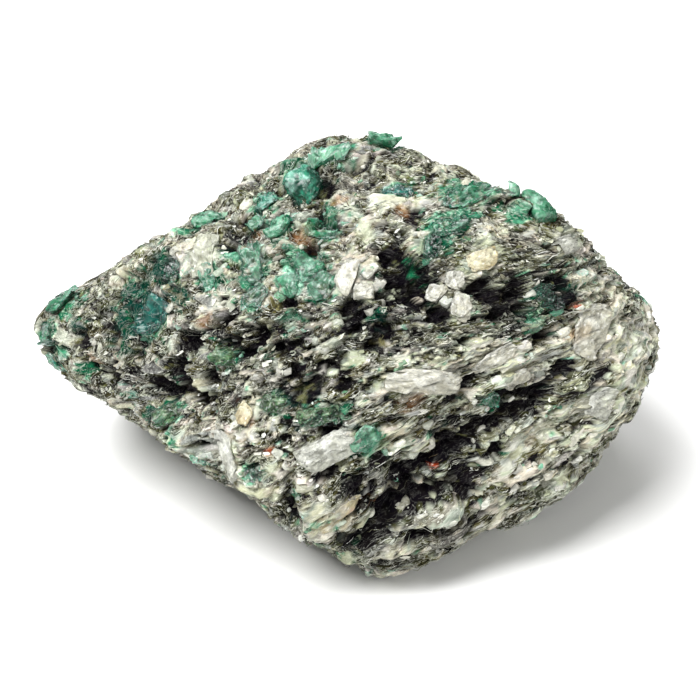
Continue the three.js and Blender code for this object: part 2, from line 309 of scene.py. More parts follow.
palePlaces = [
    # crown and upper slopes
    (9, 69, 1.8, 1.5), (-15, 78, 2.4, 1.2), (160, 79, 2.2, 1.8), (50, 71, 4.2, 1.8),
    (-68, 58, 2.4, 1.5), (32, 58, 2.0, 1.8), (55, 46, 2.4, 1.7), (77, 35, 2.6, 1.6),
    (72, 27, 2.2, 2.4), (-41, 58, 2.0, 1.0), (-56, 50, 0.8, 2.0), (7, 65, 1.8, 1.1),
    (10, 57, 1.6, 1.2), (1, 61, 1.8, 1.2), (-76, 4, 2.0, 1.0), (-64, 15, 2.6, 1.4),
    (-69, 8, 1.5, 1.1),
    # the middle
    (-49, 38, 2.0, 1.4), (-7, 40, 1.6, 1.3), (-8, 35, 2.6, 1.0), (6, 41, 1.0, 2.2),
    (-32, 36, 1.3, 1.0), (-28, 32, 1.3, 1.0), (-52, 31, 2.0, 1.6),
    # the white band and the blocks of the right face
    (19, 24, 5.4, 2.7), (12, 25, 2.4, 1.7), (23, 29, 1.8, 1.1), (15, 30, 2.0, 1.1),
    (44, 24, 2.8, 1.6), (37, 28, 2.6, 1.4), (48, 18, 1.6, 1.2), (50, 16, 1.8, 1.5),
    (66, 19, 2.6, 3.2), (47, 0, 5.2, 2.2), (37, 4, 2.2, 1.1), (40, -5, 1.8, 1.6),
    (62, 5, 2.4, 1.6), (65, 16, 2.0, 2.2), (66, 10, 2.4, 2.4), (71, 16, 2.0, 2.6),
    (18, 3, 2.0, 1.5), (13, 8, 2.2, 2.4), (52, 4, 4.0, 1.2), (59, -2, 3.0, 2.0),
    (52, -9, 3.0, 1.8), (36, -14, 3.0, 1.5), (26, -14, 2.8, 1.5), (32, -20, 2.4, 0.9),
    (20, -16, 2.0, 1.2),
    # low on the front and left
    (-11, -1, 2.2, 1.3), (-5, -12, 4.6, 1.3), (8, 6, 1.8, 1.3), (19, -7, 1.5, 1.5),
    (12, -16, 1.8, 1.1), (12, -22, 2.2, 1.1), (-8, -7, 2.6, 1.7), (-20, -6, 3.0, 1.5),
    (-35, 1, 2.2, 2.8), (-32, -2, 1.8, 2.0), (74, 12, 3.0, 3.4), (70, 4, 3.4, 2.4),
    (77, 21, 2.6, 2.4), (84, 10, 3.0, 3.0), (-80, 25, 3.0, 1.4), (-45, -3, 5.0, 3.0),
    (-38, 2, 3.6, 3.0), (-30, 7, 3.0, 2.0), (-28, -6, 3.6, 2.2), (-19, 1, 2.0, 1.0),
    (-46, 15, 2.2, 1.4), (-47, -1, 2.4, 1.4),
    # the hidden sides
    (160, 35, 6, 2.4), (-150, 5, 5, 2), (130, -10, 6, 2.2), (-175, -20, 7, 2), (98, 12, 4, 2.4),
    (124, 18, 5, 1.8), (-118, 14, 5, 1.8), (-160, 62, 5, 1.8), (175, 22, 4, 1.6),
    (-128, -20, 5, 1.8),
]
# silky mica slopes, and dusky stretches with much biotite, darkened further by painted shade
silverPlaces = [
    (-78, 29, 6.5, 2.8), (76, 14, 6.0, 6.0), (68, 2, 6.0, 4.0), (-48, -4, 6.0, 3.5),
    (-36, -8, 5.0, 3.0), (-80, 22, 5.0, 2.4), (-66, 44, 5.0, 2.2), (48, 62, 4.5, 2.0),
    (62, 50, 5.0, 2.0), (75, 42, 4.0, 2.0), (-30, 66, 4.0, 1.6), (95, 30, 6.0, 3.0),
    (-170, 45, 8.0, 2.5), (140, 10, 8.0, 2.5),
]
duskyShadePlaces = [
    (-66, 10, 9.0, 5.0), (-70, 20, 6.0, 4.5), (12, -17, 8.0, 4.0), (22, 42, 8.0, 5.0),
    (55, 30, 6.0, 3.5), (-47, 20, 7.0, 5.0), (-27, 34, 8.0, 4.5), (-3, 38, 6.0, 3.5),
    (30, 47, 7.0, 5.0), (48, 36, 6.0, 3.0), (60, 28, 4.0, 2.5), (8, -9, 8.0, 5.5),
    (26, -4, 6.0, 4.0), (45, 10, 7.0, 2.4), (-62, 80, 5.0, 2.6), (-102, 74, 5.0, 2.6),
    (168, 84, 4.0, 2.0), (-58, 60, 4.0, 2.2), (-30, 64, 4.0, 2.0), (18, -24, 8.0, 4.0),
    (34, -19, 6.0, 3.5), (-155, 15, 9.0, 4.0), (160, -8, 9.0, 4.0),
]
greenPlaces = [
    # the right shoulder and the crown
    (87, 60, 2.6, 2.0), (83, 59, 3.4, 2.2), (76, 63, 2.6, 1.8), (58, 59, 2.8, 1.6),
    (50, 61, 1.8, 1.8), (46, 55, 1.8, 1.6), (74, 47, 2.2, 1.8), (75, 76, 2.8, 1.2),
    (-104, 76, 2.2, 2.0), (-172, 80, 3.4, 1.0), (154, 70, 2.0, 1.4), (-84, 65, 2.6, 1.2),
    # the upper left slope
    (-80, 44, 1.6, 1.6), (-56, 50, 1.8, 2.2), (-45, 45, 1.4, 1.8), (-54, 64, 1.6, 1.6),
    (-24, 72, 2.6, 1.6), (-29, 57, 2.8, 2.4), (-28, 50, 1.8, 1.6), (-22, 40, 1.4, 1.8),
    # the pointed end and the foot of the flank
    (-84, 13, 2.4, 1.4), (-84, 7, 1.2, 2.0), (-80, 5, 2.2, 1.2), (-50, -2, 1.6, 1.6),
    (-25, -3, 1.6, 1.0), (-42, -9, 1.4, 1.0),
    # the middle and the right face
    (4, 7, 2.4, 2.2), (41, 11, 1.2, 0.9), (54, 28, 1.4, 1.6), (-5, 16, 2.4, 1.4),
    # the hidden sides
    (-140, 20, 4, 3), (172, 32, 5, 3), (128, 34, 3, 2), (-168, -8, 4, 2),
]
# deep green to blue-green, where the beryl is clear and dark rock shows through
deepPlaces = [
    (-72, 35, 1.8, 2.2), (-72, 25, 3.8, 3.4), (-72, 17, 3.6, 2.8), (-66, 20, 2.4, 2.8),
    (-62, 33, 1.4, 1.1), (-80, 11, 1.3, 1.2), (-13, 20, 2.4, 1.5), (-6, 16, 2.0, 1.2),
    (65, 29, 2.2, 1.9), (58, 57, 2.0, 1.0), (47, 56, 1.2, 1.4), (-53, 62, 0.9, 1.1),
    (10, 41, 1.4, 1.8), (-56, 4, 2.0, 1.0), (-60, 0, 1.6, 1.2), (150, 30, 3, 2),
]

brownPlaces = [
    (-57, 56, 1.6, 0.8), (41, 69, 0.7, 1.2), (-15, 78, 1.2, 0.6), (-73, 8, 0.8, 0.9),
    (-21, 5, 0.7, 0.8), (-29, 12, 1.0, 1.5), (2, -9, 2.6, 0.5), (16, 18, 2.2, 1.1),
    (-32, 65, 1.8, 1.4), (-51, 31, 1.4, 0.8), (62, 21, 2, 1), (-160, 0, 3, 1.5),
    (140, 25, 2.5, 1.2),
]
redSpecks = [(66, 25, 0.45, 0.4), (23, -3, 0.45, 0.4), (-21, 5, 0.4, 0.4), (-71, 12, 0.5, 0.5)]
# bearing and lift of both ends, half width and depth in mm
cracks = [(-44, 18, -37, -3, 0.8, 1.8), (-15, 0, -12.5, -13, 0.7, 1.8), (-80, 62, -62, 40, 0.5, 0.8)]


def inPlaces(p, places, edge, ragged, seed, grow=0.0):
    # 1 inside a place, 0 outside, from the length of (along / half length, across / half width)
    best = np.full(len(p), 9.0)
    for bearing, lift, long, wide in places:
        q = p - placeOn(bearing, lift)
        run = q @ fibre
        across = np.linalg.norm(q - run[:, None] * fibre, axis=1)
        best = np.minimum(best, np.hypot(run / long, across / wide))
    return 1 - smooth(1 - edge, 1 + edge, best - grow + ragged * rough(p / 2.2, seed, 3))


def inCracks(p):
    # the deepest of deep * e^-(distance from the crack's line / half width)^2
    depth = np.zeros(len(p))
    for b0, l0, b1, l1, wide, deep in cracks:
        a, b = placeOn(b0, l0), placeOn(b1, l1)
        t = np.clip((p - a) @ (b - a) / ((b - a) @ (b - a)), 0, 1)
        off = np.linalg.norm(p - a - t[:, None] * (b - a), axis=1) + 0.5 * noise(p / 2, 411)
        depth = np.maximum(depth, deep * np.exp(-((off / wide) ** 2)))
    return depth


# crystals of the CAD model: centre, axes (long, wide, thin) and half sizes in mm


def ownAxes(name):
    # the axes are those along which the corners spread most, next most and least
    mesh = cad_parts[name].data
    corners = np.empty(len(mesh.vertices) * 3, np.float32)
    mesh.vertices.foreach_get("co", corners)
    corners = np.unique(np.round(corners.reshape(-1, 3) / mm, 3), axis=0)
    low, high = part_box(name)
    centre = (np.array(low) + np.array(high)) / 2 / mm
    _, axes = np.linalg.eigh(np.cov((corners - centre).T))
    axes = axes[:, ::-1].T
    if np.linalg.det(axes) < 0:
        axes[2] *= -1
    return centre, axes, np.abs((corners - centre) @ axes.T).max(0)


crystals = {name: ownAxes(name) for name in sorted(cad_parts) if name != "matrix"}


def insideCrystals(p, grow, kinds=("emerald", "feldspar", "quartz")):
    # 1 at the centre of the nearest crystal, 0 at its skin grown by grow mm
    deep = np.zeros(len(p))
    for name, (centre, axes, half) in crystals.items():
        if name.split("_")[0] in kinds:
            q = (p - centre) @ axes.T / (half + grow)
            deep = np.maximum(deep, 1 - np.sqrt((q * q).sum(1)))
    return deep


def nearCrystals(p, kinds):
    # 1 beside such a crystal, fading raggedly to 0 about 1 mm off
    return smooth(0.0, 0.3, insideCrystals(p, 1.1, kinds) + 0.15 * noise(p / 1.2, 403))


# the grains that make up the rock, each with a dark and a light tone and a rise in mm
grainKinds = {
    "biotite": ("#030205", "#1b161a", -0.45),
    "olive mica": ("#22200e", "#77754e", -0.1),
    "silver mica": ("#84826c", "#d2d0be", 0.05),
    "quartz": ("#80817a", "#c2c5bc", 0.12),
    "feldspar": ("#b3b19b", "#dedcd0", 0.3),
    "pale beryl": ("#2a7d58", "#9ccfb5", 0.15),
    "clear beryl": ("#002619", "#187350", -0.05),
}
grainTones = np.array([palette(low, high) for low, high, _ in grainKinds.values()])
grainRise = np.array([rise for _, _, rise in grainKinds.values()])
# shares of those grains in plain rock and in each sort of place
mixtures = {
    "plain": (0.24, 0.31, 0.22, 0.14, 0.06, 0.02, 0.01),
    "silver": (0.04, 0.3, 0.54, 0.1, 0.02, 0.0, 0.0),
    "dusky": (0.34, 0.34, 0.13, 0.13, 0.02, 0.02, 0.02),
    "pale": (0.0, 0.08, 0.2, 0.27, 0.45, 0.0, 0.0),
    "green": (0.05, 0.08, 0.07, 0.08, 0.02, 0.4, 0.3),
    "deep": (0.3, 0.05, 0.01, 0.03, 0.0, 0.03, 0.58),
    "hollow": (0.88, 0.06, 0.02, 0.02, 0.01, 0.0, 0.01),
}


def makeup(p):
    # shares of pale, hollow, green, brown and red rock: inside the places above, and bands that
    # follow the layers where 2 noises of different sizes add up to more than a limit
    q = layerCoords(p)
    band = noise(q / (9, 4, 1.6), 421) + 0.6 * noise(q / (3.5, 1.6, 0.8), 422)
    hidden = 0.16 * smooth(0, 14, p[:, 1] - heart[1])
    facing = outward(45, 0) @ (p - heart).T / 40
    hollow = inPlaces(p, darkHollows, 0.35, 0.55, 401, 0.18)
    hollow = np.maximum(hollow, smooth(0.55, 0.8, hidden - band))
    pale = smooth(0.4, 0.7, band + 0.2 * facing + hidden)
    pale = np.maximum(inPlaces(p, palePlaces, 0.3, 0.4, 402), pale)
    pale = np.maximum(pale, 0.9 * nearCrystals(p, ("feldspar", "quartz")))
    green = np.maximum(inPlaces(p, greenPlaces, 0.4, 0.5, 404), 0.6 * nearCrystals(p, ("emerald",)))
    deep = inPlaces(p, deepPlaces, 0.4, 0.5, 409) * (1 - 0.7 * hollow)
    return {
        "silver": inPlaces(p, silverPlaces, 0.5, 0.5, 407),
        "dusky": inPlaces(p, duskyShadePlaces, 0.4, 0.5, 408),
        "pale": pale * (1 - hollow) * (1 - deep),
        "deep": deep,
        "hollow": hollow,
        "green": green * (1 - 0.8 * hollow),
        "brown": inPlaces(p, brownPlaces, 0.5, 0.6, 405),
        "red": inPlaces(p, redSpecks, 0.3, 0.2, 406),
    }


def patchwork(p, q, shares):
    # grains of two sizes, drawn out where the layers run straight and blocky where they are
    # matted: each large one either stays whole or is broken into small ones. Its own number
    # picks its kind from the mixture of the place
    warp = 0.35 * noiseWay(q / (1.6, 0.9, 0.7), 431)
    matted = crumpled(p)[:, None]
    large, small = (
        np.array(stone[size][0]) * (1 - matted) + np.array(stone[size][1]) * matted
        for size in ("largeMm", "smallMm")
    )
    gap, own, away = cells(q / large + warp, 102)
    fineGap, fineOwn, fineAway = cells(q / small + warp, 103)
    broken = (own * 61.7) % 1 < stone["brokenShare"]
    number = np.where(broken, fineOwn, own)
    edge = np.where(broken, np.minimum(0.6 * fineGap, 1.4 * gap), 1.4 * gap)
    slope = slopes[(number * 255).astype(int)]
    tilt = (slope * np.where(broken[:, None], 0.5 * fineAway, away)).sum(1)
    mix = np.broadcast_to(mixtures["plain"], (len(p), len(grainRise)))
    for place in list(mixtures)[1:]:
        mix = blend(mix, np.array(mixtures[place]), shares[place])
    kind = (np.cumsum(mix, axis=1)[:, :-1] < ((number * 37.3) % 1)[:, None]).sum(1)
    return kind, number, edge, tilt


def stoneSurface(dirs):
    # points of the stone along the directions. Inside the fracture planes come, each in mm:
    # lumps * noise + slabs * tilted planes + grains * (own height + tilt) + pillows * how far
    # in from the grain's edge + ridges * noise drawn out along the fibres - hollows
    p = dirs * stoneReach(dirs)[:, None] + heart
    shares = makeup(p)
    q = layerCoords(p)
    kind, number, edge, tilt = patchwork(p, q, shares)
    slab, _, _ = facets(q / stone["slabMm"], 101, 0.7)
    rise = stone["lumps"] * noise(p / stone["lumpMm"], 104) + stone["slabs"] * slab
    rise += stone["grains"] * ((number * 13.1) % 1 - 0.5 + 0.8 * tilt) + grainRise[kind]
    rise += stone["pillows"] * smooth(0, 0.5, edge)
    rise += stone["ridges"] * noise(q / stone["ridgeMm"], 105)
    uneven = smooth(-0.5, 0.3, noise(p / stone["hollowMm"], 106) + 0.1)
    rise -= stone["hollows"] * shares["hollow"] * uneven
    rise -= inCracks(p)
    held = smooth(0.0, 0.5, insideCrystals(p, 0.6))
    rise = rise * (1 - 0.5 * held) - 0.15 * held - stone["worn"]
    reach = np.linalg.norm(p - heart, axis=1) + rise
    below = np.where(dirs[:, 2] < 0, heart[2] / np.maximum(-dirs[:, 2], 1e-6), 1e6)
    points = dirs * np.minimum(reach, below)[:, None] + heart
    return {
        "points": points,
        "shares": shares,
        "coords": matLengths(points, layerCoords(points)),
        "kind": kind,
        "number": number,
        "edge": edge,
    }


def rockColour(made):
    # between a grain's dark and light tone by its own number and noise, each grain with a slight
    # cast of its own, with painted shade in the seams; then the casts of the places, darker in
    # dusky places and all but black in hollows, both painted shade
    p, kind, number, shares = made["points"], made["kind"], made["number"], made["shares"]
    t = np.clip(0.5 + 0.8 * ((number * 91.7) % 1 - 0.5) + 0.5 * noise(p / 0.9, 111), 0, 1)
    colour = blend(grainTones[kind, 0], grainTones[kind, 1], t)
    colour = colour * (1 + 0.07 * slopes[((number * 53.9) % 1 * 255).astype(int)])
    lilac = np.clip(0.3 * crumpled(p) + 0.5 * noise(p / 7, 114), 0, 1)
    colour = blend(colour * (1.0, 1.01, 0.93), colour * (1.02, 0.98, 1.03), lilac)
    # painted shade in the grooves between the grains
    seamShade = (1 - smooth(0.0, 0.14, made["edge"])) * smooth(-0.2, 0.3, noise(p / 2.5, 112))
    colour = blend(colour, linear("#15120d"), 0.75 * seamShade * (1 - 0.6 * shares["pale"]))
    patchy = smooth(-0.5, 0.3, noise(p / 1.3, 113))
    # silver places a little paler; dusky places darkened by painted shade
    colour = colour * (1 + 0.14 * shares["silver"] - 0.3 * shares["dusky"])[:, None]
    colour = blend(colour, linear("#2c9068"), 0.4 * shares["green"] * patchy)
    colour = blend(colour, linear("#023a30"), 0.9 * shares["deep"] * patchy)
    colour = blend(colour, linear("#9a6f48"), 0.6 * shares["brown"])
    # painted shade: the hollows all but black in ragged patches
    hollowShade = smooth(-0.2, -0.02, noise(p / 1.1, 115))
    colour = blend(colour, linear("#060309"), 0.92 * shares["hollow"] * hollowShade)
    return blend(colour, linear("#b5451f"), 0.9 * shares["red"])


# meshes


def cubeGrid(n):
    # n x n squares on each side of a cube, its lines at the tangents of even angles, blown up to
    # a ball: unit directions, squares, and each side's own place on the map
    a = np.tan(np.linspace(-1, 1, n + 1) * math.pi / 4)
    u, v = np.meshgrid(a, a, indexing="ij")
    one = np.ones_like(u)
    sides = [(one, u, v), (-one, v, u), (v, one, u), (u, -one, v), (u, v, one), (v, u, -one)]
    points = np.concatenate([np.stack(s, -1).reshape(-1, 3) for s in sides])
    i, j = np.meshgrid(np.arange(n), np.arange(n), indexing="ij")
    corner = (i * (n + 1) + j).ravel()
    square = np.stack((corner, corner + n + 1, corner + n + 2, corner + 1), -1)
    squares = np.concatenate([square + k * (n + 1) ** 2 for k in range(6)])
    s, t = np.meshgrid(np.linspace(0.03, 0.97, n + 1), np.linspace(0.03, 0.97, n + 1), indexing="ij")
    chart = np.concatenate(
        [np.stack(((s + k % 3) / 3, (t + k // 3) / 2), -1).reshape(-1, 2) for k in range(6)]
    )
    uv = chart[squares.ravel()]
    _, first, back = np.unique(np.round(points, 6), axis=0, return_index=True, return_inverse=True)
    return unit(points[first]), back.ravel()[squares], uv


def evened(points, squares, times, amount):
    # draws each point towards the mean of its squares' middles by amount, so no single one spikes
    for _ in range(times):
        middle = points[squares].mean(1).repeat(4, axis=0)
        flat = squares.ravel()
        count = np.bincount(flat, minlength=len(points))[:, None]
        total = np.stack(
            [np.bincount(flat, weights=middle[:, k], minlength=len(points)) for k in range(3)], -1
        )
        points = points + amount * (total / count - points)
    return points


def atlas(count, faceUv):
    # gives each copy a square cell of the map and lays its faces out in it
    side = math.ceil(math.sqrt(count))
    cell = np.stack((np.arange(count) % side, np.arange(count) // side), -1)
    return ((cell[:, None, None] + 0.04 + 0.92 * faceUv[None]) / side).reshape(-1, 2)


def meshPiece(name, points, faces, uv, material, attributes, rounded=False):
    # one closed mesh from arrays in mm, with its own map and point attributes
    mesh = bpy.data.meshes.new(name)
    sides = faces.shape[1]
    mesh.vertices.add(len(points))
    mesh.vertices.foreach_set("co", (points * mm).astype(np.float32).ravel())
    mesh.loops.add(faces.size)
    mesh.loops.foreach_set("vertex_index", faces.astype(np.int32).ravel())
    mesh.polygons.add(len(faces))
    mesh.polygons.foreach_set("loop_start", np.arange(0, faces.size, sides, dtype=np.int32))
    mesh.polygons.foreach_set("use_smooth", np.full(len(faces), rounded))
    layer = mesh.uv_layers.new(name="OFBake")
    layer.uv.foreach_set("vector", uv.astype(np.float32).ravel())
    for key, values in attributes.items():
        kind, field = ("FLOAT_COLOR", "color") if values.shape[1] == 4 else ("FLOAT_VECTOR", "vector")
        made = mesh.attributes.new(key, kind, "POINT")
        made.data.foreach_set(field, values.astype(np.float32).ravel())
    mesh.update(calc_edges=True)
    mesh.validate()
    mesh.materials.append(material)
    piece = bpy.data.objects.new(name, mesh)
    bpy.context.scene.collection.objects.link(piece)
    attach(piece, "root")
    print(name, len(faces) * (sides - 2), "triangles")
    return piece


def tinted(colour, grain=1.0):
    # the colour, with how strongly the surface pattern shows as its alpha
    alpha = np.broadcast_to(np.asarray(grain, float).reshape(-1, 1), (len(colour), 1))
    return np.concatenate((np.clip(colour, 0, 1), alpha), axis=1)


# materials


def node(tree, kind, settings=None, links=None):
    # adds a node: settings are its properties or unlinked inputs, links its linked inputs
    made = tree.nodes.new(kind)
    for key, value in (settings or {}).items():
        if isinstance(key, str) and hasattr(made, key):
            setattr(made, key, value)
        else:
            made.inputs[key].default_value = value
    for key, source in (links or {}).items():
        tree.links.new(source, made.inputs[key])
    return made


def material(name, surface, pattern=None):
    # A Principled surface coloured by the attribute "tint". A pattern lays a mosaic of small
    # tilted plates over it, read from the attribute "layers" in mm: cells of plateMm with a
    # brightness and a slope each, cloudy noise of cloudMm whose dips in the relief get painted
    # shade, pale lines of lineMm where a drawn-out noise crosses its middle value, a painted
    # shadow as a dark line beside each, and painted glints as pale specks and painted shade as
    # dark pits, each in a speckShare of the cells of speckMm. Alpha of the tint scales it all.
    made = bpy.data.materials.new(name)
    made.use_nodes = True
    tree = made.node_tree
    tree.nodes.clear()
    tint = node(tree, "ShaderNodeAttribute", {"attribute_name": "tint"}).outputs
    links = {"Base Color": tint["Color"]}
    if pattern:
        where = node(tree, "ShaderNodeAttribute", {"attribute_name": "layers"}).outputs["Vector"]
        laid = {}
        for size in ("plateMm", "cloudMm", "lineMm", "speckMm"):
            perMm = tuple(1 / mmEach for mmEach in pattern[size])
            mapping = node(tree, "ShaderNodeMapping", {"Scale": perMm}, {"Vector": where})
            laid[size] = mapping.outputs[0]
        plate, speck = (
            node(tree, "ShaderNodeTexVoronoi", {"Scale": 1.0}, {"Vector": laid[size]}).outputs
            for size in ("plateMm", "speckMm")
        )
        own, chance = (
            node(tree, "ShaderNodeSeparateColor", {}, {"Color": cell["Color"]}).outputs
            for cell in (plate, speck)
        )
        cloud = node(
            tree,
            "ShaderNodeTexNoise",
            {"Scale": 1.0, "Detail": 5.0, "Roughness": 0.8, "Distortion": 0.6},
            {"Vector": laid["cloudMm"]},
        ).outputs["Fac"]
        drawn = node(
            tree,
            "ShaderNodeTexNoise",
            {"Scale": 1.0, "Detail": 2.0, "Roughness": 0.6, "Distortion": 0.8},
            {"Vector": laid["lineMm"]},
        ).outputs["Fac"]

        # how far the drawn-out noise is from its middle, and from a value a little below it
        width, dip, rare = pattern["lineWidth"], pattern["dip"], 1 - pattern["speckShare"]
        off = []
        for value in (0.5, 0.5 - 2.2 * width):
            less = node(tree, "ShaderNodeMath", {"operation": "SUBTRACT", 1: value}, {0: drawn})
            size = node(tree, "ShaderNodeMath", {"operation": "ABSOLUTE"}, {0: less.outputs[0]})
            off.append(size.outputs[0])

        # each value, the range it is taken from and the range it is brought to
        # painted shade in the dips of the relief, beside each pale line and in the dark pits; painted
        # glints in the pale specks
        ranges = {
            "plate": (own[0], 0, 1, pattern["dim"], pattern["bright"]),
            "dipShade": (cloud, 0.36, 0.62, dip, 1.25),
            "lineShadow": (off[1], 0.4 * width, 1.3 * width, dip, 1),
            "onLine": (off[0], 0, width, 1, 0),
            "lineShows": (cloud, 0.42, 0.6, 0.15, 1),
            "inSpeck": (speck["Distance"], 0.22, 0.42, 1, 0),
            "glintPick": (chance[1], rare, rare + 0.03, 0, 1),
            "darkPick": (chance[2], rare, rare + 0.03, 0, 1),
            "share": (tint["Alpha"], 0, 1, 0, pattern["lineShare"]),
            "relief": (tint["Alpha"], 0, 1, 0.35 * pattern["bump"], pattern["bump"]),
        }
        got = {}
        for key, (value, low, high, toLow, toHigh) in ranges.items():
            ends = {"From Min": low, "From Max": high, "To Min": toLow, "To Max": toHigh}
            got[key] = node(tree, "ShaderNodeMapRange", ends, {"Value": value}).outputs[0]

        # what is worked out from those by two at a time
        steps = {
            "line": ("MULTIPLY", "onLine", "lineShows"),
            "speck": ("MULTIPLY", "glintPick", "inSpeck"),
            "pitShade": ("MULTIPLY", "darkPick", "inSpeck"),
            "pale": ("MAXIMUM", "line", "speck"),
            "drawnOn": ("MULTIPLY", "pale", "share"),
            "shade": ("MULTIPLY", "plate", "lineShadow"),
            "clouded": ("MULTIPLY", "shade", "dipShade"),
        }
        for key, (operation, first, second) in steps.items():
            pair = {0: got[first], 1: got[second]}
            got[key] = node(tree, "ShaderNodeMath", {"operation": operation}, pair).outputs[0]
        pitted = node(
            tree,
            "ShaderNodeMath",
            {"operation": "MULTIPLY_ADD", 1: dip - 1, 2: 1.0},
            {0: got["pitShade"]},
        ).outputs[0]
        bright = node(
            tree, "ShaderNodeMath", {"operation": "MULTIPLY"}, {0: got["clouded"], 1: pitted}
        ).outputs[0]
        strength = node(
            tree, "ShaderNodeMapRange", {"To Min": 1.0}, {"Value": tint["Alpha"], "To Max": bright}
        ).outputs[0]
        shaded = node(
            tree,
            "ShaderNodeVectorMath",
            {"operation": "SCALE"},
            {0: tint["Color"], "Scale": strength},
        ).outputs[0]
        lineColour = (*linear(pattern["lineHex"]), 1)
        links["Base Color"] = node(
            tree,
            "ShaderNodeMix",
            {"data_type": "RGBA", 7: lineColour},
            {0: got["drawnOn"], 6: shaded},
        ).outputs[2]

        # the plates' own slopes, the clouds and the lines make the relief
        away = node(
            tree,
            "ShaderNodeVectorMath",
            {"operation": "SUBTRACT"},
            {0: laid["plateMm"], 1: plate["Position"]},
        ).outputs[0]
        slope = node(
            tree,
            "ShaderNodeVectorMath",
            {"operation": "SUBTRACT", 1: (0.5, 0.5, 0.5)},
            {0: plate["Color"]},
        ).outputs[0]
        tilted = node(
            tree, "ShaderNodeVectorMath", {"operation": "DOT_PRODUCT"}, {0: away, 1: slope}
        ).outputs["Value"]
        height = cloud
        for value, weight in ((tilted, pattern["slope"]), (got["line"], 0.25)):
            height = node(
                tree,
                "ShaderNodeMath",
                {"operation": "MULTIPLY_ADD", 1: weight},
                {0: value, 2: height},
            ).outputs[0]
        links["Normal"] = node(
            tree,
            "ShaderNodeBump",
            {"Distance": pattern["depthMm"] * mm},
            {"Height": height, "Strength": got["relief"]},
        ).outputs[0]
    shader = node(tree, "ShaderNodeBsdfPrincipled", surface, links)
    node(tree, "ShaderNodeOutputMaterial", {}, {"Surface": shader.outputs[0]})
    return made


# mica schist: dull and dark between the flakes, with pale silky edges drawn out along the layers
schist = material(
    "mica_schist",
    {"Roughness": 0.55, "IOR": 1.58, "Specular IOR Level": 0.02},
    {
        "plateMm": (2.0, 0.6, 0.36),
        "cloudMm": (1.6, 0.45, 0.32),
        "lineMm": (3.4, 0.95, 0.62),
        "lineWidth": 0.05,
        "lineShare": 0.9,
        "lineHex": "#e6e7db",
        "speckMm": (0.5, 0.34, 0.3),
        "speckShare": 0.2,
        "slope": 1.4,
        "dim": 0.38,
        "bright": 1.6,
        "dip": 0.07,
        "bump": 0.95,
        "depthMm": 0.28,
    },
)
# muscovite and talc plates: pearly, catching the light one by one
silverMica = material(
    "muscovite_mica", {"Roughness": 0.32, "IOR": 1.58, "Coat Weight": 0.35, "Coat Roughness": 0.16}
)
# phlogopite and chlorite: olive, a little duller
oliveMica = material(
    "phlogopite_mica", {"Roughness": 0.36, "IOR": 1.58, "Specular IOR Level": 0.16}
)
# biotite: nearly black with small bright glints
darkMica = material(
    "biotite_mica", {"Roughness": 0.2, "IOR": 1.6, "Specular IOR Level": 0.06}
)
# emerald: green beryl, clouded and frosted, so light goes into it but little is seen through it
beryl = material(
    "emerald",
    {
        "Roughness": 0.24,
        "IOR": 1.58,
        "Specular IOR Level": 0.3,
        "Transmission Weight": 0.3,
        "Subsurface Weight": 0.4,
        "Subsurface Radius": (0.3, 1.0, 0.7),
        "Subsurface Scale": 1.4 * mm,
    },
    {
        "plateMm": (1.3, 1.1, 0.9),
        "cloudMm": (1.8, 1.5, 1.3),
        "lineMm": (2.0, 1.4, 1.2),
        "lineWidth": 0.02,
        "lineShare": 0.3,
        "speckMm": (0.5, 0.4, 0.4),
        "speckShare": 0.1,
        "lineHex": "#e4f2ea",
        "slope": 1.2,
        "dim": 0.86,
        "bright": 1.16,
        "dip": 0.66,
        "bump": 0.34,
        "depthMm": 0.22,
    },
)
# albite feldspar: white, the light spreads a little way in
feldspar = material(
    "albite_feldspar",
    {
        "Roughness": 0.45,
        "IOR": 1.53,
        "Subsurface Weight": 0.3,
        "Subsurface Radius": (1.0, 0.9, 0.75),
        "Subsurface Scale": 0.8 * mm,
    },
    {
        "plateMm": (2.0, 1.1, 0.8),
        "cloudMm": (1.5, 0.9, 0.7),
        "lineMm": (2.6, 1.0, 0.8),
        "lineWidth": 0.012,
        "lineShare": 0.4,
        "speckMm": (0.6, 0.4, 0.4),
        "speckShare": 0.1,
        "lineHex": "#fbfbf8",
        "slope": 1.2,
        "dim": 0.84,
        "bright": 1.08,
        "dip": 0.66,
        "bump": 0.45,
        "depthMm": 0.22,
    },
)
# quartz: greyer and glassier than the feldspar
quartz = material(
    "vein_quartz",
    {
        "Roughness": 0.3,
        "IOR": 1.55,
        "Transmission Weight": 0.1,
        "Subsurface Weight": 0.2,
        "Subsurface Radius": (1.0, 1.0, 0.95),
        "Subsurface Scale": 1.0 * mm,
    },
    {
        "plateMm": (1.4, 1.0, 0.9),
        "cloudMm": (1.0, 0.8, 0.8),
        "lineMm": (2.0, 1.2, 1.0),
        "lineWidth": 0.014,
        "lineShare": 0.5,
        "speckMm": (0.6, 0.4, 0.4),
        "speckShare": 0.1,
        "lineHex": "#f2f4f1",
        "slope": 1.0,
        "dim": 0.76,
        "bright": 1.14,
        "dip": 0.6,
        "bump": 0.5,
        "depthMm": 0.2,
    },
)


# crystals: the six-sided and blocky CAD solids, broken, frosted and worn level with the rock

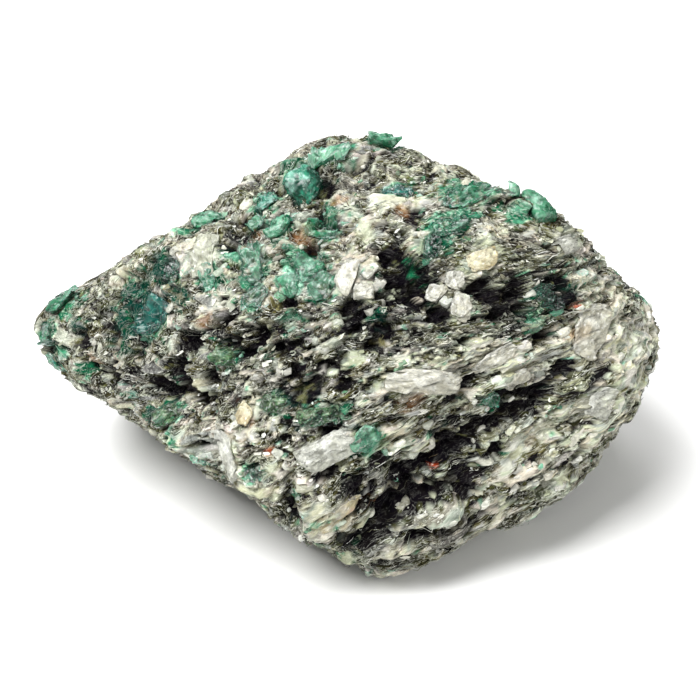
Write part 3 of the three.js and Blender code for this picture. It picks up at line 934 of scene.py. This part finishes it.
crystalsOf = {
    "teal": ("emerald_crown", "emerald_slope_sliver", "emerald_back_centre"),
    "mint": (
        "emerald_peak", "emerald_ledge", "emerald_oval", "emerald_window_foot", "emerald_band",
        "emerald_rim", "emerald_back_right",
    ),
    "pale": (
        "emerald_crown_slab", "emerald_blade", "emerald_flank_foot", "emerald_in_quartz",
        "emerald_rim_sliver",
    ),
    "green": (
        "emerald_table", "emerald_window", "emerald_point", "emerald_shoulder",
        "emerald_shoulder_foot", "emerald_back_left",
    ),
    "grey": (
        "emerald_round", "emerald_column", "emerald_column_foot", "emerald_fan",
        "emerald_tip_upper", "emerald_tip_lower",
    ),
    "deep": (
        "emerald_wedge", "emerald_foot", "emerald_shade", "emerald_cleft", "emerald_blunt_end",
    ),
    "blue": ("emerald_deep", "emerald_blue"),
    "olive": ("emerald_olive", "emerald_flank", "emerald_hollow", "emerald_front"),
    "cream": ("feldspar_cream", "feldspar_hump", "feldspar_fibrous", "feldspar_back_left"),
    "dusty": ("quartz_column",),
}
toneOf = {name: tone for tone, names in crystalsOf.items() for name in names}
# clear body, clouded body, frosted breaks; the side facing the key light gets more of the last two as
# painted light
tones = {
    "teal": palette("#033f2e", "#2b8569", "#aadccb"),
    "green": palette("#013620", "#21704c", "#92c9ae"),
    "mint": palette("#0b5636", "#4c906d", "#b9dbc9"),
    "pale": palette("#35785a", "#76ad8d", "#d4eadd"),
    "grey": palette("#1a4a36", "#58866b", "#b0cdbe"),
    "deep": palette("#00150b", "#0a3626", "#3f7a64"),
    "blue": palette("#012a28", "#0a5c52", "#4f9c8c"),
    "olive": palette("#1e3c1b", "#53784d", "#aec6a2"),
    "quartz": palette("#a3a497", "#c5c6bb", "#dedfd7"),
    "feldspar": palette("#9b9989", "#bab9ad", "#d6d5cd"),
    "cream": palette("#a0946f", "#c4bd9d", "#dad5bf"),
    "dusty": palette("#8c8e7b", "#adaf9b", "#cfd0c2"),
}
surfaceOf = {"emerald": beryl, "feldspar": feldspar, "quartz": quartz}

crystal = {
    "grid": 24,  # squares along each side of its six patches
    "slimGrid": 14,  # the same, on one that is thinner than slimMm
    "slimMm": 1.2,
    "level": 0.3,  # how far it stands above the broken rock round it, mm
    "facets": 0.12,  # the next three are shares of its half thickness
    "chips": 0.04,
    "swell": 0.05,
    "ragged": 0.08,  # how far its outline wanders, a share of its half sizes
    "roundness": 16,
    "keyLightWay": (-0.5, -0.2, 0.84),  # toward the key light: the side facing it is painted paler and milkier as a painted highlight, the far side deeper and clearer as painted shade
}
# how far some stand out of the rock all the same, mm
standsOut = {
    "emerald_crown": 2.4,
    "emerald_peak": 1.3,
    "emerald_point": 1.0,
    "emerald_tip_upper": 0.6,
    "emerald_tip_lower": 0.6,
    "emerald_rim": 1.2,
    "emerald_rim_sliver": 1.3,
    "emerald_oval": 0.7,
    "emerald_round": 0.6,
    "emerald_ledge": 0.5,
    "emerald_crown_slab": 0.5,
    "emerald_in_quartz": 0.4,
    "feldspar_band": 0.9,
    "feldspar_cream": 0.2,
    "feldspar_knot": 0.2,
    "feldspar_bead": 0.2,
    "feldspar_plate": 0.3,
    "feldspar_streak": 0.3,
    "quartz_block": 0.3,
    "quartz_column": 0.2,
    "quartz_lump": 0.3,
}


def crystalShape(dirs, half, rng, hexagonal):
    # a polytope in the crystal's own axes: six sides (or four) and two ends, cut by a few chance
    # breaks, then scaled to its half sizes
    if hexagonal:
        turn = np.radians(np.arange(30, 390, 60))
        sides = np.stack((np.zeros(6), np.cos(turn), np.sin(turn)), -1)
        reaches = np.full(6, math.cos(math.pi / 6))
        scale = half * (1, 1, 1 / math.cos(math.pi / 6))
    else:
        sides = np.array([(0, 1, 0), (0, -1, 0), (0, 0, 1), (0, 0, -1)])
        reaches = np.full(4, 0.92)
        scale = half
    ends = unit(np.array([(1, 0, 0), (-1, 0, 0)]) + rng.normal(0, 0.15, (2, 3)))
    breaks = unit(rng.normal(size=(8, 3)))
    normals = np.concatenate((sides, ends, breaks))
    reaches = np.concatenate((reaches, (1, 1), rng.uniform(0.78, 1.08, 8)))
    return dirs * polytope(dirs, normals, reaches, crystal["roundness"])[:, None] * scale


def crystalPiece(name, index):
    # shape + outward * half thickness * (facets + chips + swell) + ragged * half sizes * noise,
    # then drawn back to the level of the broken rock by min(r, level), rounded as
    # -k ln(e^(-r/k) + e^(-level/k)). From clear to clouded to frosted by noise, and by how far it
    # faces the key light: paler there as a painted highlight, deeper on the far side as painted
    # shade; and the colour of the rock where it hardly stands out of it
    centre, axes, half = crystals[name]
    kind = name.split("_")[0]
    rng = np.random.default_rng(50 + index)
    dirs, squares, uv = cubeGrid(crystal["grid" if half[1] > crystal["slimMm"] else "slimGrid"])
    local = crystalShape(dirs, half, rng, kind == "emerald")
    there = local + 37.0 * index
    small = half.min()
    plane, gap, _ = facets(there / (1.1 * small), 61, 0.8)
    chip, _, _ = facets(there / 0.9, 66, 0.7)
    lift = crystal["facets"] * small * plane + crystal["swell"] * small * noise(there / small, 62)
    lift += min(crystal["chips"] * small, 0.12) * 2 * chip - 0.04 * small
    facing = unit(local / half**2)
    facesKeyLight = facing @ axes @ np.array(crystal["keyLightWay"]) - 0.5
    local = local + facing * lift[:, None]
    ragged = noiseWay(there / (0.9 * small), 71) + 0.5 * noiseWay(there / (0.4 * small), 74)
    proudBy = standsOut.get(name, 0.0)
    sharp = 1.0 if kind == "emerald" and proudBy < 0.9 else 0.35
    local = local + sharp * crystal["ragged"] * half * ragged
    points = local @ axes + centre
    way = points - heart
    r = np.linalg.norm(way, axis=1)
    d = way / r[:, None]
    rock = stoneSurface(d)
    broken = np.linalg.norm(rock["points"] - heart, axis=1)
    plain = stoneReach(d) - stone["worn"]
    follows = 1.0 if sharp == 1.0 else 0.5
    level = follows * broken + (1 - follows) * plain + crystal["level"] + proudBy
    level = level + follows * 0.3 * noise(points / 2.2, 67) + 0.22 * plane + 0.06 * chip
    k = 0.12
    r = level - k * np.logaddexp(0, np.clip((level - r) / k, -60, 60))
    points = d * r[:, None] + heart
    points[:, 2] = np.maximum(points[:, 2], 0.0)
    proud = r - broken + 0.15 * noise(points / 0.7, 68)
    # painted light: more clouded and frosted on the side facing the key light, clear and deep as
    # painted shade on the side away from it
    cloud = smooth(-0.45, 0.2, rough(there / max(0.9, 0.8 * small), 64, 3) + 0.7 * facesKeyLight)
    cloud = cloud * (0.25 + 0.75 * smooth(0.1, 0.5, proud))
    frostAndHighlight = smooth(0.1, 0.8, rough(there / 1.1, 65, 2) + 0.6 * facesKeyLight)
    frostAndHighlight = np.clip(0.85 * frostAndHighlight + 0.12 * (1 - smooth(0.0, 0.1, gap)), 0, 1)
    tone = tones[toneOf.get(name, kind)]
    colour = blend(np.broadcast_to(tone[0], local.shape), tone[1], cloud)
    colour = blend(colour, tone[2], 0.6 * frostAndHighlight)
    colour = blend(colour, linear("#8a7550"), 0.5 * inPlaces(points, brownPlaces, 0.5, 0.6, 405))
    colour = blend(rockColour(rock), colour, smooth(-0.05, 0.4, proud))
    piece = meshPiece(
        name + "_crystal",
        points,
        squares,
        uv,
        surfaceOf[kind],
        {"tint": tinted(colour), "layers": there},
        rounded=True,
    )
    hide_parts(name)


for index, name in enumerate(crystals):
    crystalPiece(name, index)
print("crystals", len(crystals))


# the stone

dirs, squares, uv = cubeGrid(stone["grid"])
dirs = unit(dirs * stone["stretch"] + (0, 0, stone["lowered"]))
made = stoneSurface(dirs)
made["points"] = evened(made["points"], squares, 1, 0.5)
stonePoints, stoneColour, shares = made["points"], rockColour(made), made["shares"]
# quartz, feldspar and beryl grains are calmer than mica
calm = np.array([0.35, 1.0, 1.0, 0.55, 0.35, 0.6, 0.7])[made["kind"]]
calm = calm * (1 - 0.85 * shares["hollow"]) * (1 - 0.35 * shares["pale"]) * (1 - 0.5 * shares["deep"])
stonePiece = meshPiece(
    "mica_schist_stone",
    stonePoints,
    squares,
    uv,
    schist,
    {"tint": tinted(stoneColour, calm), "layers": made["coords"]},
)
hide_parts("matrix")


# flakes, threads and grains on the broken skin


def scatter(rng, count, liking):
    # chance points on the stone, thicker where liking (read at its corners) is higher: points,
    # outward normals, the stone's own colour there, and how much a flake may differ from it
    corners = stonePoints[squares]
    across = np.cross(corners[:, 2] - corners[:, 0], corners[:, 3] - corners[:, 1])
    area = np.linalg.norm(across, axis=1)
    weight = area * liking[squares[:, 0]] * (corners[:, :, 2].min(1) > 0.35)
    total = np.cumsum(weight)
    pick = np.searchsorted(total, rng.uniform(0, total[-1], int(count * few)))
    a, b = rng.uniform(0, 1, (2, len(pick), 1))
    c = corners[pick]
    points = (c[:, 0] * (1 - a) + c[:, 1] * a) * (1 - b) + (c[:, 3] * (1 - a) + c[:, 2] * a) * b
    normals = unit(across[pick] / area[pick, None] + 0.6 * unit(points - heart))
    keep = insideCrystals(points, 0.0) <= 0.12
    at = squares[pick, 0][keep]
    # in hollows a flake keeps the stone's colour there, painted shade included
    free = (1 - 0.65 * shares["hollow"][at]) * (1 - 0.5 * shares["pale"][at])
    free = free * (1 - 0.6 * shares["green"][at]) * (1 - 0.85 * shares["deep"][at])
    return points[keep], normals[keep], stoneColour[at], free


def plates(rng, points, normals, size, aspect, thick, wander, proud):
    # thin six-cornered plates, half lying on the skin and half in the layers: a rim with a middle
    # point above and below, let down until its highest corner stands out by proud
    count = len(points)
    layer = layerNormal(points)
    layer *= np.sign((layer * normals).sum(1) + 1e-9)[:, None]
    flat = unit(0.6 * normals + 0.55 * layer + wander * rng.normal(size=(count, 3)))
    way = fibre + wander * rng.normal(size=(count, 3))
    way = unit(way - (way * flat).sum(1)[:, None] * flat)
    side = np.cross(flat, way)
    turn = np.radians(np.arange(0, 360, 60)) + rng.uniform(-0.4, 0.4, (count, 6))
    radius = size[:, None] * rng.uniform(0.6, 1.2, (count, 6))
    x, y = radius * aspect[:, None] * np.cos(turn), radius * np.sin(turn)
    rim = x[..., None] * way[:, None] + y[..., None] * side[:, None]
    rim = rim + rng.normal(0, 0.06, (count, 6, 1)) * size[:, None, None] * flat[:, None]
    poke = (rim * normals[:, None]).sum(2).max(1)
    centre = points + normals * (proud - poke)[:, None]
    corner = np.concatenate(
        (
            centre[:, None] + rim,
            (centre + flat * thick[:, None])[:, None],
            (centre - flat * thick[:, None])[:, None],
        ),
        axis=1,
    )
    corner[..., 2] = np.maximum(corner[..., 2], 0.0)
    ring, after = np.arange(6), (np.arange(6) + 1) % 6
    top = np.stack((np.full(6, 6), ring, after), -1)
    bottom = np.stack((np.full(6, 7), after, ring), -1)
    faces = np.arange(count)[:, None, None] * 8 + np.concatenate((top, bottom))[None]
    disc = 0.5 + 0.48 * np.stack((np.cos(np.radians(ring * 60)), np.sin(np.radians(ring * 60))), -1)
    chart = np.concatenate((disc, ((0.5, 0.5), (0.5, 0.5)))) * (0.5, 1)
    faceUv = np.concatenate((chart[top], chart[bottom] + (0.5, 0)))
    return corner.reshape(-1, 3), faces.reshape(-1, 3), atlas(count, faceUv)


flakes = {
    "muscovite_flakes": {
        "seed": 21,
        "count": 5000,
        "liking": 1.0 - 0.5 * shares["pale"] - 0.96 * shares["hollow"] - 0.5 * shares["green"],
        "surface": silverMica,
        "tones": palette("#8b907c", "#b4b8a7", "#d6d9cd", "#f0f1ea"),
        "ownColour": 0.55,
        "radius": (0.14, 0.5),
        "aspect": (1.0, 1.9),
        "wander": 0.3,
        "thick": (0.03, 0.08),
        "proud": (0.0, 0.14),
    },
    "phlogopite_flakes": {
        "seed": 22,
        "count": 4500,
        "liking": 1.0 - 0.75 * shares["pale"] - 0.9 * shares["hollow"] - 0.5 * shares["green"],
        "surface": oliveMica,
        "tones": palette("#34331f", "#5a5c45", "#7f8369", "#a2a68c"),
        "ownColour": 0.6,
        "radius": (0.14, 0.5),
        "aspect": (1.0, 1.9),
        "wander": 0.3,
        "thick": (0.03, 0.08),
        "proud": (0.0, 0.12),
    },
    "biotite_flakes": {
        "seed": 23,
        "count": 3500,
        "liking": 0.35 + 0.9 * shares["hollow"] - 0.3 * shares["pale"],
        "surface": darkMica,
        "tones": palette("#050406", "#0e0c0a", "#1a1812", "#2c2a20"),
        "ownColour": 0.8,
        "radius": (0.14, 0.55),
        "aspect": (1.0, 1.8),
        "wander": 0.45,
        "thick": (0.03, 0.08),
        "proud": (0.0, 0.12),
    },
}
for name, kind in flakes.items():
    rng = np.random.default_rng(kind["seed"])
    points, normals, under, free = scatter(rng, kind["count"], kind["liking"])
    n = len(points)
    corners, faces, faceUv = plates(
        rng,
        points,
        normals,
        rng.uniform(*kind["radius"], n),
        rng.uniform(*kind["aspect"], n),
        rng.uniform(*kind["thick"], n),
        kind["wander"],
        rng.uniform(*kind["proud"], n),
    )
    colour = blend(under, along(kind["tones"], rng.uniform(0, 1, n)), kind["ownColour"] * free)
    look = {"tint": tinted(colour.repeat(8, axis=0))}
    meshPiece(name, corners, faces, faceUv, kind["surface"], look)


def threads(rng, points, normals, length, width, lift):
    # fine edges of mica lying on the skin: a path of six places goes off both ways along the
    # crossing of layer and skin, bends sideways by bend * s^2, and is laid down on the stone
    # again. Its section is a triangle that shrinks to a point at both ends. Those that would
    # bridge a hollow are left out
    count, steps = len(points), 6
    evenly = np.linspace(-0.5, 0.5, steps)[None, :]
    layer = layerNormal(points)
    crossing = np.cross(normals, layer)
    crossing *= np.sign((crossing * fibre).sum(1) + 1e-9)[:, None]
    flow = crossing + 0.35 * fibre + rng.normal(0, 0.07, (count, 3))
    flow = flow + (0.35 + 1.3 * crumpled(points))[:, None] * noiseWay(points / 2.8, 331)
    flow = unit(flow - (flow * normals).sum(1)[:, None] * normals)
    side = np.cross(normals, flow)
    matted = crumpled(points)[:, None]
    s = evenly * length[:, None] * (1 - 0.4 * matted)
    bend = rng.normal(0, 0.12, (count, 1)) * (1 + 3 * matted)
    path = points[:, None] + s[..., None] * flow[:, None] + (bend * s * s)[..., None] * side[:, None]
    laid = stoneSurface(unit(path.reshape(-1, 3) - heart))["points"].reshape(path.shape)
    near = np.linalg.norm(np.diff(laid, axis=1), axis=2).max(1) < 0.35 * length + 0.1
    laid, normals, side, width, lift = (a[near] for a in (laid, normals, side, width, lift))
    count = len(laid)
    rise = lift[:, None] * (1 - (2 * evenly) ** 4) - 0.04
    laid = laid + rise[..., None] * normals[:, None]
    half = width[:, None] * np.sqrt(1 - (1.9 * evenly) ** 2)
    left = laid[:, 1:-1] - half[:, 1:-1, None] * side[:, None]
    right = laid[:, 1:-1] + half[:, 1:-1, None] * side[:, None]
    top = laid[:, 1:-1] + 0.8 * half[:, 1:-1, None] * normals[:, None]
    rings = np.stack((left, right, top), 2).reshape(count, -1, 3)
    corner = np.concatenate((rings, laid[:, :1], laid[:, -1:]), axis=1)
    corner[..., 2] = np.maximum(corner[..., 2], 0.0)
    inner = steps - 2
    faces = []
    for k in range(3):
        a, b = np.arange(inner - 1) * 3 + k, np.arange(inner - 1) * 3 + (k + 1) % 3
        faces += [np.stack((a, a + 3, b), -1), np.stack((b, a + 3, b + 3), -1)]
        first, last = inner * 3, inner * 3 + 1
        end = (inner - 1) * 3
        faces.append(np.array([(first, k, (k + 1) % 3), (last, end + (k + 1) % 3, end + k)]))
    shape = np.concatenate(faces)
    ringAt, cornerAt = np.arange(inner * 3) // 3 + 1, np.arange(inner * 3) % 3
    ringAt, cornerAt = np.append(ringAt, (0, inner + 1)), np.append(cornerAt, (1, 1))
    spot = np.stack((ringAt / (inner + 1), cornerAt / 2), -1)
    each = inner * 3 + 2
    faces = (np.arange(count)[:, None, None] * each + shape[None]).reshape(-1, 3)
    return corner.reshape(-1, 3), faces, atlas(count, spot[shape]), each, near


threadKinds = {
    "silver_edges": {
        "seed": 24,
        "count": 1500,
        "liking": 1.0 - 0.6 * shares["pale"] - 0.93 * shares["hollow"] - 0.4 * shares["green"],
        "surface": silverMica,
        "tones": palette("#b4b7a5", "#dcded1", "#f5f6ef"),
        "ownColour": 0.75,
    },
    "grey_edges": {
        "seed": 26,
        "count": 1500,
        "liking": 1.0 - 0.4 * shares["pale"] - 0.8 * shares["hollow"] - 0.3 * shares["green"],
        "surface": silverMica,
        "tones": palette("#5f6152", "#8f917f", "#c4c5b5"),
        "ownColour": 0.7,
    },
    "olive_edges": {
        "seed": 25,
        "count": 1500,
        "liking": 1.0 - 0.6 * shares["pale"] - 0.6 * shares["hollow"] - 0.3 * shares["green"],
        "surface": oliveMica,
        "tones": palette("#1f1e14", "#4b4a33", "#8a8a6c"),
        "ownColour": 0.7,
    },
    "dark_edges": {
        "seed": 27,
        "count": 1200,
        "liking": 0.8 - 0.5 * shares["pale"] + 0.2 * shares["hollow"] - 0.4 * shares["green"],
        "surface": darkMica,
        "tones": palette("#050407", "#141014", "#2b2822"),
        "ownColour": 0.8,
    },
}
edge = {
    "bundle": 4,  # threads side by side, about apart mm from each other
    "apart": 0.3,
    "shortest": 0.8,  # mm, and how much longer the longest is
    "longer": 2.4,
    "halfWidth": (0.03, 0.065),
    "lift": (0.02, 0.08),
}
for name, kind in threadKinds.items():
    rng = np.random.default_rng(kind["seed"])
    points, normals, under, free = scatter(rng, kind["count"], kind["liking"])
    points, normals, under, free = (
        a.repeat(edge["bundle"], axis=0) for a in (points, normals, under, free)
    )
    n = len(normals)
    points = points + rng.normal(0, edge["apart"], (n, 3))
    corners, faces, faceUv, each, near = threads(
        rng,
        points,
        normals,
        edge["shortest"] + edge["longer"] * rng.uniform(0, 1, n) ** 2,
        rng.uniform(*edge["halfWidth"], n),
        rng.uniform(*edge["lift"], n),
    )
    colour = blend(under, along(kind["tones"], rng.uniform(0, 1, n)), kind["ownColour"] * free)
    look = {"tint": tinted(colour[near].repeat(each, axis=0))}
    meshPiece(name, corners, faces, faceUv, kind["surface"], look)


def blocks(rng, points, normals, size, aspect, proud):
    # small broken blocks: r = (sum of (n.d / reach)^p)^(-1/p) over a box and six chance planes,
    # drawn out along the fibres, let down until the highest corner stands out by proud
    n = len(points)
    base, quads, chart = cubeGrid(3)
    way = unit(fibre + 0.25 * rng.normal(size=(n, 3)))
    flat = layerNormal(points) + 0.3 * rng.normal(size=(n, 3))
    flat = unit(flat - (flat * way).sum(1)[:, None] * way)
    side = np.cross(flat, way)
    scale = np.stack((size * aspect, size, size * rng.uniform(0.6, 1.0, n)), -1)
    cut = unit(rng.normal(size=(n, 6, 3)))
    toward = np.maximum(np.einsum("vk,nck->nvc", base, cut), 0) / rng.uniform(0.65, 1.05, (n, 1, 6))
    walls = np.abs(base)[None].repeat(n, axis=0) / 0.85
    p = 9
    reach = ((toward**p).sum(2) + (walls**p).sum(2)) ** (-1 / p)
    local = base[None] * reach[..., None] * scale[:, None]
    turned = (
        local[..., :1] * way[:, None] + local[..., 1:2] * side[:, None] + local[..., 2:] * flat[:, None]
    )
    poke = (turned * normals[:, None]).sum(2).max(1)
    corner = (points + normals * (proud - poke)[:, None])[:, None] + turned
    corner[..., 2] = np.maximum(corner[..., 2], 0.0)
    faces = (np.arange(n)[:, None, None] * len(base) + quads[None]).reshape(-1, 4)
    return corner.reshape(-1, 3), faces, atlas(n, chart.reshape(len(quads), 4, 2)), len(base)


grain = {
    "drawnOut": (1.0, 2.2),  # length for width
    "proud": (0.0, 0.2),  # mm
    "rockColour": 0.35,  # share of the rock's own colour
}
grainPieces = {
    "feldspar_grains": {
        "seed": 31,
        "count": 700,
        "liking": 0.05 + 1.5 * shares["pale"] - 0.04 * shares["hollow"],
        "surface": feldspar,
        "tones": palette("#9b9a86", "#b8b7a8", "#cccbbf", "#deddd3"),
        "size": (0.3, 1.1),
    },
    "quartz_grains": {
        "seed": 32,
        "count": 500,
        "liking": 0.25 + 0.6 * shares["pale"] - 0.2 * shares["hollow"],
        "surface": quartz,
        "tones": palette("#84887c", "#a3a89d", "#bfc3b9", "#d8dbd3"),
        "size": (0.3, 1.0),
    },
    "emerald_grains": {
        "seed": 33,
        "count": 420,
        "liking": 0.004 + shares["green"],
        "surface": beryl,
        "tones": palette("#004a2f", "#2d9068", "#78b898", "#cfe6d9"),
        "size": (0.25, 0.9),
    },
}
for name, kind in grainPieces.items():
    rng = np.random.default_rng(kind["seed"])
    points, normals, under, _ = scatter(rng, kind["count"], kind["liking"])
    n = len(points)
    low, high = kind["size"]
    corners, faces, faceUv, each = blocks(
        rng,
        points,
        normals,
        low + (high - low) * rng.uniform(0, 1, n) ** 2,
        rng.uniform(*grain["drawnOut"], n),
        rng.uniform(*grain["proud"], n),
    )
    own = along(kind["tones"], rng.uniform(0, 1, n))
    colour = blend(own, under, np.full(n, grain["rockColour"]))
    look = {"tint": tinted(colour.repeat(each, axis=0)), "layers": corners}
    meshPiece(name, corners, faces, faceUv, kind["surface"], look)


# a plain pale floor, a white sky, a soft key from above left, weak lights from right and back
studio = {
    "floor": "#f6f6f5",
    "sky": "#ffffff",
    "skyStrength": 0.37,
    "keyWatts": 3.6,
    "keySize": 0.26,  # metres, as are the places
    "keyPlace": (-0.15, -0.13, 0.42),
    "fillWatts": 1.0,
    "fillSize": 0.4,
    "fillPlace": (0.4, -0.3, 0.25),
    "backWatts": 1.3,
    "backSize": 0.4,
    "backPlace": (-0.15, 0.42, 0.26),
}
cameraSet = {
    "lookAt": (0.0003, 0.0024, 0.021),
    "distance": 0.28,
    "elevation": 35,  # degrees above the horizon
    "lens": 100,  # mm, on a sensor 36 mm wide
}

bpy.ops.mesh.primitive_plane_add(size=4)
floor = bpy.context.object
floor.name = "studio_floor"
paper = bpy.data.materials.new("studio_paper")
paper.use_nodes = True
paperShader = paper.node_tree.nodes["Principled BSDF"]
paperShader.inputs["Base Color"].default_value = (*linear(studio["floor"]), 1)
paperShader.inputs["Roughness"].default_value = 0.9
floor.data.materials.append(paper)

world = bpy.data.worlds.new("studio_sky")
bpy.context.scene.world = world
world.use_nodes = True
sky = world.node_tree.nodes["Background"]
sky.inputs["Color"].default_value = (*linear(studio["sky"]), 1)
sky.inputs["Strength"].default_value = studio["skyStrength"]


def placed(name, data, place):
    # puts a light or camera at a place, turned towards the middle of the stone
    made = bpy.data.objects.new(name, data)
    made.location = place
    way = Vector(cameraSet["lookAt"]) - Vector(place)
    made.rotation_euler = way.to_track_quat("-Z", "Y").to_euler()
    bpy.context.scene.collection.objects.link(made)
    return made


for name in ("key", "fill", "back"):
    light = bpy.data.lights.new(name + "_light", "AREA")
    light.energy = studio[name + "Watts"]
    light.size = studio[name + "Size"]
    placed(name + "_light", light, studio[name + "Place"])

lens = bpy.data.cameras.new("camera")
lens.lens = cameraSet["lens"]
lens.sensor_width = 36
lens.clip_start = 0.01
rise = math.radians(cameraSet["elevation"])
x, y, z = cameraSet["lookAt"]
back, up = cameraSet["distance"] * math.cos(rise), cameraSet["distance"] * math.sin(rise)
bpy.context.scene.camera = placed("camera", lens, (x, y - back, z + up))
bpy.context.scene.view_settings.view_transform = "Standard"
